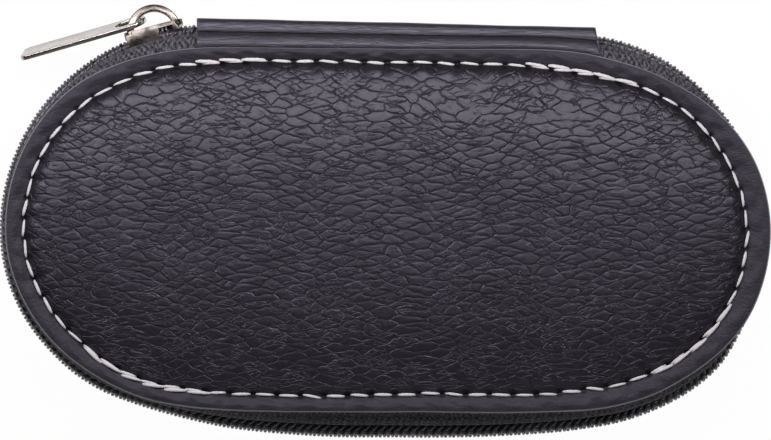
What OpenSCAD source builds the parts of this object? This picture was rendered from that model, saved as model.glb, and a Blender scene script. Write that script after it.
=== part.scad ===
// Zip-around manicure case: two padded covers, a coil zip round three sides and a leather
// spine on the fourth, with four tools held under one elastic band in the lower half.
// Millimetres. +X along the case, +Y towards the spine, +Z up; the origin is the middle of
// the resting face.

/* [Case] */
// Length over the closed zip
case_len = 119.4; // [105:0.2:150]
// Width over the closed zip
case_wid = 64.8; // [58:0.2:80]
// Height from the resting face to the top of the lid
case_h = 23; // [21:0.5:32]

// How far the zip's side bows past its end arc at the spine's left
zip_bow_spine_left = 0.3; // [0.3:0.1:4]
// The same at the spine's right
zip_bow_spine_right = 2.2; // [0.3:0.1:4]
// The same at the left of the opening side
zip_bow_front_left = 5.2; // [0.3:0.1:5.5]
// The same at the right of the opening side
zip_bow_front_right = 1.8; // [0.3:0.1:4]

/* [Covers] */
// Length of each padded cover
panel_len = 116.6; // [102:0.2:148]
// Width of each padded cover
panel_wid = 57.4; // [50:0.2:72]
// How far the cover's side bows past its end arc at the spine's left
panel_bow_spine_left = 0.9; // [0.3:0.1:3]
// The same at the spine's right
panel_bow_spine_right = 2.8; // [0.3:0.1:3]
// The same at the left of the opening side
panel_bow_front_left = 1.3; // [0.3:0.1:3]
// The same at the right of the opening side
panel_bow_front_right = 1.1; // [0.3:0.1:3]
// Thickness of the outer leather
leather_t = 1; // [0.6:0.1:1.4]
// Thickness of the foam padding
foam_t = 1.6; // [1:0.1:3]
// Thickness of the stiffening board
board_t = 1.4; // [0.8:0.1:2.2]
// Thickness of the lining
lining_t = 0.6; // [0.3:0.1:1]
// Rise of the lid's crown above its shoulder
lid_crown = 0.8; // [0:0.1:1.5]
// Distance from a cover's edge to its seam
seam_inset = 3; // [2:0.25:4]
// Depth of the sewn groove below the cover's face
groove_d = 1; // [0.5:0.1:1.4]

/* [Seam] */
// Pitch of the stitches
stitch_pitch = 3.5; // [2.5:0.1:5]
// Length of one stitch
stitch_len = 2.7; // [1.5:0.1:4]
// Diameter of the sewing thread
thread_d = 0.5; // [0.4:0.05:1]

/* [Zip] */
// Thickness of the woven tape
tape_t = 0.5; // [0.3:0.05:0.8]
// Width of the closed coil chain
chain_w = 4.4; // [3.6:0.1:6]
// Thickness of the coil chain
chain_t = 2.25; // [1.6:0.05:3]
// Length of the slider
slider_len = 9.3; // [8:0.1:12]
// Width of the slider
slider_w = 6.6; // [6.4:0.1:9]
// Place of the slider on the end arc, in degrees from +X
slider_angle = 105; // [104:1:150]
// Length of the pull tab
tab_len = 20.4; // [14:0.2:30]
// Width of the pull tab
tab_w = 6; // [4.6:0.1:7]
// Thickness of the pull tab
tab_t = 0.7; // [0.6:0.1:1]
// Lean of the pull tab about its own length
tab_lean = 18; // [0:1:18]
// Droop of the pull tab's far end
tab_droop = 12; // [0:1:16]

/* [Spine] */
// Left end of the leather spine
spine_left = -29.3; // [-30.5:0.1:-20]
// Right end of the leather spine
spine_right = 33.2; // [20:0.1:34]
// Distance between the spine's two fold lines
fold_gap = 6; // [5:0.5:8]

/* [Tools] */
// Width of the elastic band
band_w = 16; // [10:1:20]
// Thickness of the elastic band
band_t = 0.8; // [0.5:0.1:1.2]
// Length of the nail clipper
clipper_len = 52; // [44:1:60]
// Width of the nail clipper
clipper_w = 11; // [9:0.5:12]
// Length of the tweezers
tweezers_len = 82; // [60:1:88]
// Width of the tweezers
tweezers_w = 8; // [6:0.5:8.5]
// Length of the cuticle pusher
pusher_len = 84; // [60:1:88]
// Diameter of the cuticle pusher's shaft
pusher_d = 3.6; // [3:0.1:4.4]
// Length of the nail file
file_len = 80; // [60:1:82]
// Width of the nail file's handle
handle_w = 7; // [5.5:0.1:7.4]

/* [Hidden] */
$fn = 96;

black = [0.15, 0.14, 0.16];
charcoal = [0.2, 0.19, 0.21];
white = [0.93, 0.92, 0.93];
card = [0.55, 0.45, 0.33];
foam_grey = [0.4, 0.4, 0.42];
steel = [0.78, 0.77, 0.75];
nickel = [0.74, 0.71, 0.68];

// A quarter of an outline with half length a and half width b, as an end arc that runs into a
// flatter side arc: [end centre, end radius, side centre, side radius, degrees of the side arc]
function quarter(a, b, bow) =
    let(r = b - bow, c = a - r, side_r = (c * c + b * b - r * r) / (2 * bow))
    [c, r, side_r - b, side_r, asin(c / (side_r - r))];

// An outline's eight arcs, counter-clockwise from +X: [centre x, centre y, radius, from, to]
function arcs(q) = [
    [q[0][0], 0, q[0][1], 0, 90 - q[0][4]], [0, -q[0][2], q[0][3], 90 - q[0][4], 90],
    [0, -q[1][2], q[1][3], 90, 90 + q[1][4]], [-q[1][0], 0, q[1][1], 90 + q[1][4], 180],
    [-q[2][0], 0, q[2][1], 180, 270 - q[2][4]], [0, q[2][2], q[2][3], 270 - q[2][4], 270],
    [0, q[3][2], q[3][3], 270, 270 + q[3][4]], [q[3][0], 0, q[3][1], 270 + q[3][4], 360]];

// The point at a share of one arc, moved outward by d
function on_arc(k, d, share) =
    let(a = k[3] + (k[4] - k[3]) * share) [k[0] + (k[2] + d) * cos(a), k[1] + (k[2] + d) * sin(a)];

// Stations round an outline: more on the end arcs than on the flat sides
arc_steps = [12, 4, 4, 12, 12, 4, 4, 12];
stations = [for (i = [0:7], j = [0:arc_steps[i] - 1]) [i, j / arc_steps[i]]];

panel_b = panel_wid / 2;
chain_b = case_wid / 2;
slider_quarter = quarter(case_len / 2, chain_b, zip_bow_spine_left);
panel_oval = arcs([for (bow = [panel_bow_spine_right, panel_bow_spine_left, panel_bow_front_left,
    panel_bow_front_right]) quarter(panel_len / 2, panel_b, bow)]);
chain_oval = arcs([quarter(case_len / 2, chain_b, zip_bow_spine_right), slider_quarter,
    quarter(case_len / 2, chain_b, zip_bow_front_left), quarter(case_len / 2, chain_b, zip_bow_front_right)]);
arc_r = slider_quarter[1];
mid_z = case_h / 2;
clear = 0.05;

// Heights in the lower cover's stack, from the resting face up
pad_in = seam_inset + 1.4;
rim_low = groove_d;
rim_top = rim_low + 2 * leather_t;
foam_top = leather_t + foam_t;
board_top = foam_top + board_t;
floor_z = board_top + lining_t;
shoulder_in = pad_in + 2.6;
crown_in = panel_b - 9;
crown_steps = 3;

// The coil chain stands on the tape's outer face
tape_out = -chain_t - clear;
tape_in = tape_out - tape_t;
coil_gap = 0.3;
coil_half = (chain_w - coil_gap) / 2;
tape_edge = 0.8;
tape_upright = 3.8;

// The spine folds on two lines
spine_t = leather_t;
fold_y = chain_b - 0.6;
fold_low = mid_z - fold_gap / 2;
spine_end_gap = 0.3;

// The slider in its own frame: x outward from the arc's centre, y to the rear, z up
plate_t = 0.65;
plate_in = arc_r + 0.15;
plate_out = plate_in + plate_t;
inner_plate_t = 0.7;
inner_plate_out = arc_r + tape_in - 0.5;
skirt_in = arc_r - chain_t + 0.2;
skirt_z = chain_w / 2 + 0.15;
wedge_w = 1.2;
wedge_y = [-4, -2];
bail_w = 1.25;
bail_bar = 1.1;
bail_r = 3.7;
bail_n = plate_out - 0.65;
bail_eye_angle = 54;
eye_near = 1.65;
eye_far = 2.7;
eye_r = 1.6;
eye_rim = 0.65;

// Carries a section of [share from the cover's outline to the zip's, distance outside, height] round
// the case; an open section starts and ends on flat middles
module carried(section, open = true) {
    m = len(section);
    k = len(stations);
    last = open ? m - 2 : m - 1;
    caps = open ? [[for (i = [0:k - 1]) i * m], [for (i = [k - 1:-1:0]) i * m + m - 1]] : [];
    polyhedron(
        points = [for (st = stations, q = section)
            let(p = on_arc(panel_oval[st[0]], q[1], st[1]), c = on_arc(chain_oval[st[0]], q[1], st[1]))
            concat((1 - q[0]) * p + q[0] * c, [q[2]])],
        faces = concat(caps, [for (i = [0:k - 1], j = [0:last])
            [i * m + j, i * m + (j + 1) % m, ((i + 1) % k) * m + (j + 1) % m, ((i + 1) % k) * m + j]]));
}

function reverse(v) = [for (i = [len(v) - 1:-1:0]) v[i]];

// Puts a piece made for the lower cover on the lid
module as_lid() {
    translate([0, 0, case_h]) mirror([0, 0, 1]) children();
}

// The space that the spine takes out of the zip
module spine_window() {
    translate([spine_left - spine_end_gap, 0, -1])
        cube([spine_right - spine_left + 2 * spine_end_gap, case_wid, case_h + 2]);
}

// Outer face of a cover's pad from the middle out: flat, falling by the crown to the shoulder
function pad_face(crown, up) = [for (i = [0:crown_steps]) let(u = i / crown_steps)
    [0, -crown_in + (crown_in - shoulder_in) * u, crown * u * u + up]];

module cover(crown) {
    carried(concat(
        pad_face(crown, 0),
        [[0, -pad_in, crown + groove_d * 0.85], [0, -seam_inset, crown + groove_d], [0, -0.95, crown + rim_low],
         [0, 0, crown + rim_low + 0.8], [0, 0, crown + rim_top - 0.6], [0, -0.55, crown + rim_top],
         [0, -pad_in + 0.2, crown + rim_top], [0, -pad_in + 0.2, crown + rim_low + leather_t],
         [0, -pad_in, crown + groove_d * 0.85 + leather_t]],
        reverse(pad_face(crown, leather_t))));
}

module padding(crown) {
    carried(concat(
        pad_face(crown, leather_t + clear),
        [[0, -pad_in - 0.3, crown + groove_d * 0.85 + leather_t + clear], [0, -pad_in - 0.3, crown + foam_top - clear],
         [0, -crown_in, crown + foam_top - clear]]));
}

module board(crown) {
    translate([0, 0, crown + foam_top]) linear_extrude(board_t)
        polygon([for (st = stations) on_arc(panel_oval[st[0]], -pad_in, st[1])]);
}

// The lining steps down from the board onto the root of the zip tape
module lining(crown) {
    root_top = crown + rim_top + tape_t;
    carried([
        [0, -crown_in, crown + board_top], [0, -pad_in + 0.1, crown + board_top], [0, -pad_in + 0.4, root_top],
        [0, -1.25, root_top], [0, -1.25, root_top + lining_t], [0, -pad_in + 0.6, root_top + lining_t],
        [0, -pad_in + 0.3, crown + floor_z], [0, -crown_in, crown + floor_z]]);
}

// Lengths of the seam's arcs, and the arc and share at a distance along it
seam_lens = [for (k = panel_oval) (k[2] - seam_inset) * (k[4] - k[3]) * PI / 180];
function sum(v, i = 0) = i < len(v) ? v[i] + sum(v, i + 1) : 0;
function along_seam(s, i = 0) = s < seam_lens[i] || i == 7 ? [i, s / seam_lens[i]] : along_seam(s - seam_lens[i], i + 1);

// Stitches laid end to end round the seam, each a short straight run of thread
module stitches(crown) {
    n = round(sum(seam_lens) / stitch_pitch);
    for (i = [0:n - 1]) {
        at = along_seam((i + 0.5) * sum(seam_lens) / n);
        k = panel_oval[at[0]];
        place = on_arc(k, -seam_inset, at[1]);
        translate([place[0], place[1], crown + rim_low - thread_d / 2 - clear])
            rotate([0, 0, k[3] + (k[4] - k[3]) * at[1]]) rotate([90, 0, 0])
            cylinder(h = stitch_len, d = thread_d, center = true, $fn = 16);
    }
}

// Section of the lower tape as [share from cover's outline to zip's, distance outside, height]:
// root, bend, sloping wall and upright edge, then back along the inner face
function tape_section(root) = [
    [0, -pad_in + 0.6, root], [0, -0.35, root], [0.25, -0.1, root + 1.4],
    [0.55, -0.9, root + 3], [1, tape_out, mid_z - tape_upright], [1, tape_out, mid_z - tape_edge],
    [1, tape_in, mid_z - tape_edge], [1, tape_in, mid_z - tape_upright + 0.1],
    [0.55, -0.9 - tape_t, root + 3.2], [0.25, -0.1 - tape_t, root + 1.75],
    [0, -0.55, root + tape_t], [0, -pad_in + 0.6, root + tape_t]];

module tape(crown) {
    difference() {
        carried(tape_section(crown + rim_top), false);
        spine_window();
    }
}

// The upper tape clears the slider, which stays on the base while the lid opens
module upper_tape() {
    slider_x = at_slider_x(plate_out, slider_len / 2) - 0.4;
    difference() {
        as_lid() tape(lid_crown);
        translate([slider_x, 0, mid_z - 1]) cube([spine_left - slider_x, case_wid, 1 + slider_w / 2 + 0.7]);
    }
}

function at_slider_x(n, y) = -slider_quarter[0] + n * cos(slider_angle) - y * sin(slider_angle);

// Half of the closed chain: the envelope that one coil fills
module lower_coil() {
    top = mid_z - coil_gap / 2;
    edge = 0.5;
    difference() {
        carried([
            [1, -chain_t, top - coil_half], [1, -edge, top - coil_half], [1, 0, top - coil_half + edge],
            [1, 0, top - 0.2], [1, -0.2, top], [1, -chain_t, top]], false);
        spine_window();
        at_slider() wedge_space();
    }
}

// Carries a piece from the slider's own frame to its place on the end arc
module at_slider() {
    translate([-slider_quarter[0], 0, mid_z]) rotate([0, 0, slider_angle]) children();
}

module wedge_space() {
    translate([arc_r - chain_t - 2, wedge_y[0] - 0.3, -wedge_w / 2 - 0.2])
        cube([chain_t + 3, wedge_y[1] - wedge_y[0] + 0.6, wedge_w + 0.4]);
}

// A plate in the slider's y-z plane, with round corners, from x0 to x0 + t
module slider_plate(x0, t, length, width, corner) {
    translate([x0, 0, 0]) rotate([90, 0, 90]) linear_extrude(t) {
        square([length - 2 * corner, width], center = true);
        square([length, width - 2 * corner], center = true);
        for (u = [-1, 1], w = [-1, 1])
            translate([u * (length / 2 - corner), w * (width / 2 - corner)]) circle(corner);
    }
}

module slider() {
    skirt_t = slider_w / 2 - skirt_z;
    half = slider_len / 2;
    slider_plate(plate_in, plate_t, slider_len, slider_w, 1.3);
    slider_plate(inner_plate_out - inner_plate_t, inner_plate_t, slider_len - 0.4, slider_w - 0.4, 1.3);
    for (s = [-1, 1]) mirror([0, 0, s > 0 ? 0 : 1]) {
        translate([skirt_in, -0.6, skirt_z]) cube([plate_in - skirt_in + 0.1, half + 0.4, skirt_t]);
        translate([plate_in - 0.9, -half + 0.9, skirt_z]) cube([1, 0.9, skirt_t]);
    }
    translate([inner_plate_out - 0.1, wedge_y[0], -wedge_w / 2])
        cube([plate_in - inner_plate_out + 0.2, wedge_y[1] - wedge_y[0], wedge_w]);
}

// Half ring whose centre line is the path of the tab's eye
module bail() {
    intersection() {
        translate([bail_n, 0, -bail_w / 2]) difference() {
            cylinder(h = bail_w, r = bail_r + bail_bar / 2);
            translate([0, 0, -1]) cylinder(h = bail_w + 2, r = bail_r - bail_bar / 2);
        }
        translate([plate_out, -10, -5]) cube([10, 20, 10]);
    }
}

// Flat tab with an eye round the bail, lying to the rear of the slider
module tab() {
    far = tab_len - eye_near - eye_rim;
    round_x = tab_w / 2 - eye_near - eye_rim;
    corner = 1.1;
    translate([bail_n + bail_r * cos(bail_eye_angle), bail_r * sin(bail_eye_angle), -0.2])
        rotate([-tab_droop, 0, 0]) rotate([0, -tab_lean, 0]) rotate([90, 0, 90])
        linear_extrude(tab_t, center = true) difference() {
            union() {
                translate([round_x, 0]) circle(tab_w / 2);
                translate([round_x, -tab_w / 2]) square([far - round_x - corner, tab_w]);
                translate([far - 2 * corner, -tab_w / 2 + corner]) square([2 * corner, tab_w - 2 * corner]);
                for (s = [-1, 1]) translate([far - corner, s * (tab_w / 2 - corner)]) circle(corner);
            }
            translate([eye_r - eye_near, 0]) circle(eye_r);
            translate([eye_far - eye_r, 0]) circle(eye_r);
            translate([eye_r - eye_near, -eye_r]) square([eye_far + eye_near - 2 * eye_r, 2 * eye_r]);
        }
}

module along_spine(inset = 0) {
    translate([spine_left + inset, 0, 0]) rotate([90, 0, 90])
        linear_extrude(spine_right - spine_left - 2 * inset) children();
}

// Strip of leather from under a cover's rim to its fold line
module leaf(crown) {
    top = fold_low - 0.7;
    root = crown + rim_top;
    along_spine() polygon([
        [panel_b - pad_in + 0.6, root], [panel_b - 0.35, root], [panel_b + 1.5, root + 0.4],
        [fold_y - 0.5, root + 1.6], [fold_y + 0.4, top - 0.8], [fold_y + 0.45, top],
        [fold_y - 0.5, top], [fold_y - 0.6, top - 0.7], [fold_y - 1.3, root + 2.1],
        [panel_b + 1.1, root + 1.1], [panel_b - 0.55, root + tape_t], [panel_b - pad_in + 0.6, root + tape_t]]);
}

// The part between the fold lines, with a round bead on each line
module back_strip() {
    along_spine() {
        translate([fold_y - spine_t / 2, fold_low]) square([spine_t, fold_gap]);
        for (z = [fold_low, fold_low + fold_gap]) translate([fold_y, z]) circle(spine_t / 2);
    }
}

module back_lining() {
    along_spine(0.5) translate([fold_y - spine_t / 2 - tape_t, fold_low + 0.5]) square([tape_t, fold_gap - 1]);
}

pusher_blade_w = 4.4;
// The tools lie side by side from the opening side to the spine: [width, loop height, squareness]
tools = [[clipper_w, 9.8, 4], [tweezers_w, 7.4, 5], [pusher_blade_w, pusher_d + 1.4, 2.5], [handle_w, 4.4, 3]];
loop_clear = 0.4;
loop_gap = 1;
loop_steps = 14;
band_end = 2.2;
function loop_wide(i) = tools[i][0] + 2 * (loop_clear + band_t);
band_wide = sum([for (i = [0:3]) loop_wide(i)]) + 3 * loop_gap;
function loop_y(i) = i == 0 ? (loop_wide(0) - band_wide) / 2
    : loop_y(i - 1) + (loop_wide(i - 1) + loop_wide(i)) / 2 + loop_gap;
// Each loop: [middle y, inner half width, inner height, squareness]
loops = [for (i = [0:3]) [loop_y(i), tools[i][0] / 2 + loop_clear, tools[i][1], tools[i][2]]];

// A point on a loop's arch, as a superellipse grown by g
function arch(l, g, a) = [
    l[0] - (l[1] + g) * (cos(a) < 0 ? -1 : 1) * pow(abs(cos(a)), 2 / l[3]),
    floor_z + (l[2] + g) * pow(max(sin(a), 0), 2 / l[3])];

module band() {
    edge = band_wide / 2 + band_end;
    over = [for (l = loops, i = [0:loop_steps]) let(p = arch(l, band_t, 180 * i / loop_steps))
            [p[0], max(p[1], floor_z + band_t)]];
    difference() {
        translate([-band_w / 2, 0, 0]) rotate([90, 0, 90]) linear_extrude(band_w)
            polygon(concat([[-edge, floor_z], [-edge, floor_z + band_t]], over,
                           [[edge, floor_z + band_t], [edge, floor_z]]));
        for (l = loops) translate([-band_w, 0, 0]) rotate([90, 0, 90]) linear_extrude(2 * band_w)
            polygon(concat([[l[0] - l[1], floor_z - 1]],
                           [for (i = [0:loop_steps]) arch(l, 0, 180 * i / loop_steps)],
                           [[l[0] + l[1], floor_z - 1]]));
    }
}

// Bar tacks that hold the band down at its ends and between the loops
module tacks() {
    n = 9;
    ends = [for (s = [-1, 1]) s * (band_wide + band_end) / 2];
    between = [for (i = [0:2]) loops[i][0] + loop_wide(i) / 2 + loop_gap / 2];
    for (y = concat(ends, between), i = [0:n - 1])
        translate([(i - (n - 1) / 2) * band_w / (n + 0.5), y, floor_z + band_t + 0.2 + clear])
            rotate([0, 90, 0]) cylinder(h = 1.1, d = 0.4, center = true, $fn = 16);
}

tool_rest = floor_z + 0.15;
tool_x = -44;
handle_len = 30;
handle_h = 3.2;
blade_t = 1;
blade_w = 5.6;
file_z = tool_rest + handle_h / 2;
tang_len = 12;
tang_w = 4;

module file_blade_shape() {
    start = tool_x + file_len - handle_len;
    translate([0, loops[3][0], file_z - blade_t / 2]) linear_extrude(blade_t)
        polygon([[tool_x, 0], [tool_x + 5, -blade_w / 2 + 1], [tool_x + 12, -blade_w / 2],
                 [start - clear, -blade_w / 2 + 0.4], [start - clear, -tang_w / 2], [start + tang_len, -tang_w / 2],
                 [start + tang_len, tang_w / 2], [start - clear, tang_w / 2], [start - clear, blade_w / 2 - 0.4],
                 [tool_x + 12, blade_w / 2], [tool_x + 5, blade_w / 2 - 1]]);
}

module file_handle_shape() {
    start = tool_x + file_len - handle_len;
    translate([start, loops[3][0], file_z - handle_h / 2]) difference() {
        linear_extrude(handle_h) {
            translate([0, -handle_w / 2 + 0.6]) square([handle_len - handle_w / 2, handle_w - 1.2]);
            translate([8, -handle_w / 2]) square([handle_len - 8 - handle_w / 2, handle_w]);
            translate([handle_len - handle_w / 2, 0]) circle(handle_w / 2);
        }
        translate([-1, -tang_w / 2 - clear, (handle_h - blade_t) / 2 - clear])
            cube([tang_len + 1 + clear, tang_w + 2 * clear, blade_t + 2 * clear]);
    }
}

module pusher() {
    half = pusher_len / 2;
    neck = 10;
    blade = 7;
    translate([tool_x + half, loops[2][0], tool_rest + pusher_d / 2]) for (s = [0, 1]) mirror([s, 0, 0]) {
        translate([-0.1, 0, 0]) rotate([0, 90, 0]) cylinder(h = half - blade - neck + 0.1, d = pusher_d);
        translate([half - blade - neck, 0, 0]) rotate([0, 90, 0]) cylinder(h = neck, d1 = pusher_d, d2 = 1.6);
        translate([half - blade - 1, 0, -0.45]) linear_extrude(0.9) {
            translate([0, -pusher_blade_w / 2 + 0.5]) square([blade - 1.2, pusher_blade_w - 1]);
            translate([blade + 1 - pusher_blade_w / 2, 0]) circle(pusher_blade_w / 2);
        }
    }
}

module tweezers_shape() {
    x0 = tool_x;
    x1 = x0 + tweezers_len;
    arm = 0.9;
    spread = 5.2;
    mid = tool_rest + spread / 2;
    half = tweezers_w / 2;
    outer = [[x0, 0.35], [x0, 0.35 + arm * 0.8], [x0 + 13, 0.9 + arm], [x0 + 33, spread / 2],
             [x1 - 19.6, spread / 2], [x1 - 5.4, arm], [x1, arm]];
    inner = [[x1 - 6, 0], [x1 - 20, spread / 2 - arm], [x0 + 34, spread / 2 - arm], [x0 + 14, 0.9]];
    lower = function (v) [for (q = v) [q[0], -q[1]]];
    translate([0, loops[1][0], 0]) intersection() {
        translate([0, 5, mid]) rotate([90, 0, 0]) linear_extrude(10)
            polygon(concat(outer, reverse(lower(outer)), reverse(lower(inner)), [for (i = [1:3]) inner[i]]));
        linear_extrude(case_h) polygon([[x0, -1], [x0 + 30, -half * 0.85], [x1 - 3, -half], [x1, -half + 1],
            [x1, half - 1], [x1 - 3, half], [x0 + 30, half * 0.85], [x0, 1]]);
    }
}

clip_x = -41;
clip_y = loops[0][0];
leaf_t = 1.5;
pin_x = clip_x + 9;
pin_d = 2.4;
rivet_d = 2;
rivet_x = clip_x + clipper_len - 5;
leaf_split = tool_rest + leaf_t + clear;

// A clipper part drawn in its side view and given its width
module clip_side(w) {
    translate([0, clip_y + w / 2, 0]) rotate([90, 0, 0]) linear_extrude(w) children();
}

module clip_holes(r_pin, r_rivet) {
    translate([pin_x, clip_y, 0]) cylinder(h = case_h, r = r_pin);
    translate([rivet_x, clip_y, 0]) cylinder(h = case_h, r = r_rivet);
}

module clipper_lower() {
    x1 = clip_x + clipper_len;
    difference() {
        clip_side(clipper_w) polygon([[clip_x + 4, tool_rest], [x1, tool_rest], [x1, tool_rest + leaf_t],
            [clip_x + 5, tool_rest + leaf_t], [clip_x + 1.2, tool_rest + 2.9], [clip_x + 0.4, tool_rest + 2.9]]);
        clip_holes(pin_d / 2 + 0.12, rivet_d / 2 + 0.02);
    }
}

module clipper_upper() {
    x1 = clip_x + clipper_len;
    rise = 2.2;
    difference() {
        clip_side(clipper_w) polygon([[x1, leaf_split], [x1 - 14, leaf_split], [clip_x + 6, leaf_split + rise],
            [clip_x + 1.4, tool_rest + 4], [clip_x + 0.3, tool_rest + 4], [clip_x + 3.5, leaf_split + rise + leaf_t],
            [clip_x + 7, leaf_split + rise + leaf_t], [x1 - 14, leaf_split + leaf_t], [x1, leaf_split + leaf_t]]);
        clip_holes(pin_d / 2 + 0.12, rivet_d / 2 + 0.02);
    }
}

module clipper_rivet_shape() {
    translate([rivet_x, clip_y, tool_rest + 0.1]) cylinder(h = 2 * leaf_t + clear, d = rivet_d);
    translate([rivet_x, clip_y, tool_rest + 2 * leaf_t + 2 * clear]) cylinder(h = 0.5, d = 3.4);
}

lever_z = tool_rest + 2 * leaf_t + 2.5;
module clipper_pin_shape() {
    translate([pin_x, clip_y, tool_rest + 0.1]) cylinder(h = lever_z - tool_rest + 1.6, d = pin_d);
    translate([pin_x, clip_y, lever_z + 1.5]) cylinder(h = 0.6, d = 3.6);
}

module clipper_lever_shape() {
    x1 = clip_x + clipper_len - 3;
    difference() {
        clip_side(clipper_w - 2.5) polygon([[clip_x + 4, lever_z], [clip_x + 16, lever_z],
            [x1 - 8, lever_z - 0.6], [x1, lever_z - 1.4], [x1, lever_z - 0.2], [x1 - 8, lever_z + 0.7],
            [clip_x + 16, lever_z + 1.3], [clip_x + 4, lever_z + 1.3]]);
        translate([pin_x, clip_y, 0]) cylinder(h = case_h, r = pin_d / 2 + 0.12);
    }
}

color(black) cover(0);  // base_cover
color(foam_grey) padding(0);  // base_padding
color(card) board(0);  // base_board
color(charcoal) lining(0);  // base_lining
color(white) stitches(0);  // base_stitching
color(black) tape(0);  // lower_zip_tape
color(charcoal) lower_coil();  // lower_zip_coil
color(black) leaf(0);  // spine_lower_leaf
color(black) band();  // tool_band
color(white) tacks();  // band_stitching
color(black) back_strip();  // spine_back
color(charcoal) back_lining();  // spine_lining
color(black) as_lid() cover(lid_crown);  // lid_cover
color(foam_grey) as_lid() padding(lid_crown);  // lid_padding
color(card) as_lid() board(lid_crown);  // lid_board
color(charcoal) as_lid() lining(lid_crown);  // lid_lining
color(white) as_lid() stitches(lid_crown);  // lid_stitching
color(black) upper_tape();  // upper_zip_tape
color(charcoal) as_lid() lower_coil();  // upper_zip_coil
color(black) as_lid() leaf(lid_crown);  // spine_upper_leaf
color(nickel) at_slider() slider();  // slider_body
color(nickel) at_slider() bail();  // slider_bail
color(nickel) at_slider() tab();  // pull_tab
color(steel) file_blade_shape();  // file_blade
color(black) file_handle_shape();  // file_handle
color(steel) pusher();  // cuticle_pusher
color(steel) tweezers_shape();  // tweezers
color(steel) clipper_lower();  // clipper_lower_leaf
color(steel) clipper_upper();  // clipper_upper_leaf
color(steel) clipper_rivet_shape();  // clipper_rivet
color(steel) clipper_pin_shape();  // clipper_pin
color(steel) clipper_lever_shape();  // clipper_lever
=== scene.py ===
"""Looks of the zip-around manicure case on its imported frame.

Shapes are worked out in millimetres with the part's own outline formulas and put into the
meshes in metres. The lower cover is made first and the lid is its mirror image with a crown.
"""
import math

import bmesh
import bpy
import numpy as np
from mathutils import Matrix, Vector


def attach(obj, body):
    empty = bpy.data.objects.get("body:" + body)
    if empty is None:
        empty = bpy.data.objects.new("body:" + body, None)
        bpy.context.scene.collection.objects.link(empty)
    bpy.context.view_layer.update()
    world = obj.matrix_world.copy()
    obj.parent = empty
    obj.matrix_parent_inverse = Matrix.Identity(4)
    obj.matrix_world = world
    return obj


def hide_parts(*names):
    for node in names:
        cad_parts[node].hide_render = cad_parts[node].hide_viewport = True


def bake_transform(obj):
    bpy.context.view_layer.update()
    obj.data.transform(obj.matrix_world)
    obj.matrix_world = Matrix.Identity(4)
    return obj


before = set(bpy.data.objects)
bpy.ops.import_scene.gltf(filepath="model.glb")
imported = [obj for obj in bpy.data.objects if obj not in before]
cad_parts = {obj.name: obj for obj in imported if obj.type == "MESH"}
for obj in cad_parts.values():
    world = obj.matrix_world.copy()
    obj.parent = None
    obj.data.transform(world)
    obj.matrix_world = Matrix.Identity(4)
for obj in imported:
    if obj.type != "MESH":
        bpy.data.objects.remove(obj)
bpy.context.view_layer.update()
MM = 0.001
rng = np.random.default_rng(7)

# Sizes repeated from the part's source, in millimetres
CASE_LEN, CASE_WID, CASE_H = 119.4, 64.8, 23
ZIP_BOWS = (2.2, 0.3, 5.2, 1.8)
PANEL_LEN, PANEL_WID = 116.6, 57.4
PANEL_BOWS = (2.8, 0.9, 1.3, 1.1)
LID_CROWN = 0.8
LEATHER_T, LINING_T, TAPE_T = 1.0, 0.6, 0.5
SEAM_IN, PAD_IN, SHOULDER_IN = 3.0, 4.4, 7.0
CROWN_IN = PANEL_WID / 2 - 9
RIM_TOP, BOARD_TOP, FLOOR_Z = 3.0, 4.0, 4.6
CHAIN_W, CHAIN_T = 4.4, 2.25
MID_Z = CASE_H / 2
SPINE_LEFT, SPINE_RIGHT = -29.3, 33.2
FOLD_Y, FOLD_LOW, FOLD_GAP = 31.8, 8.5, 6.0
BAND_W, BAND_T = 16, 0.8
# The loops of the elastic band: middle, inner half width, inner height, squareness
LOOPS = ((-14.8, 5.9, 9.8, 4), (-1.9, 4.4, 7.4, 5), (7.7, 2.6, 5.0, 2.5), (16.8, 3.9, 4.4, 3))

# Sizes that only the looks need
STITCH_LEN, THREAD_R = 2.8, 0.23
PITCH_SIDES, PITCH_ENDS = 3.6, 3.12
# Pitch and wire of the coil, the cord inside its loops, and the sewing thread where it is thick
COIL_PITCH, WIRE_R = 1.26, 0.27
CORD_IN, CORD_R = 1.15, 0.7
SEWN_THREAD_R = 0.26
# From this x to the spine, the upper tape ends this far above the middle
NOTCH_LEFT, NOTCH_DEEP = -42.5, 4.2
# The spine's back lies this far inside its fold line at x = 0, and more by this share of x
BACK_IN, BACK_LEAN = 0.24, 0.0185
# Bar tacks across the elastic band: half length and distance from one to the next
TACK_HALF, TACK_PITCH = 0.62, 1.68
# Where the coil, the tape's top and the tape's root end beside the spine, left and right
COIL_ENDS, TAPE_TOP_ENDS, TAPE_ROOT_ENDS = (-29.0, 32.2), (-28.7, 32.0), (-28.7, 32.6)
# Soft goods stray from their even outline. These are the turning points of each stray, to a
# tenth of a millimetre: arc number plus share round the outline, and the outward shift there.
# The seam, guided by hand
SEAM_STRAY = (
    (0, 0), (0.5, -0.5), (1, 0), (1.25, 0.6), (1.75, -0.1), (2, -0.2), (2.75, 0.4), (3.25, -0.3), (3.5, 0.1),
    (4, 0.3), (4.25, 0), (4.5, -0.7), (4.75, -0.5), (5, 0.2), (5.25, 0.5), (5.7, 0.2), (6, -0.2),
    (6.25, -0.2), (6.75, 0.4), (7.25, -0.5), (7.5, -0.1), (7.75, 0.1), (8, 0))
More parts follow.
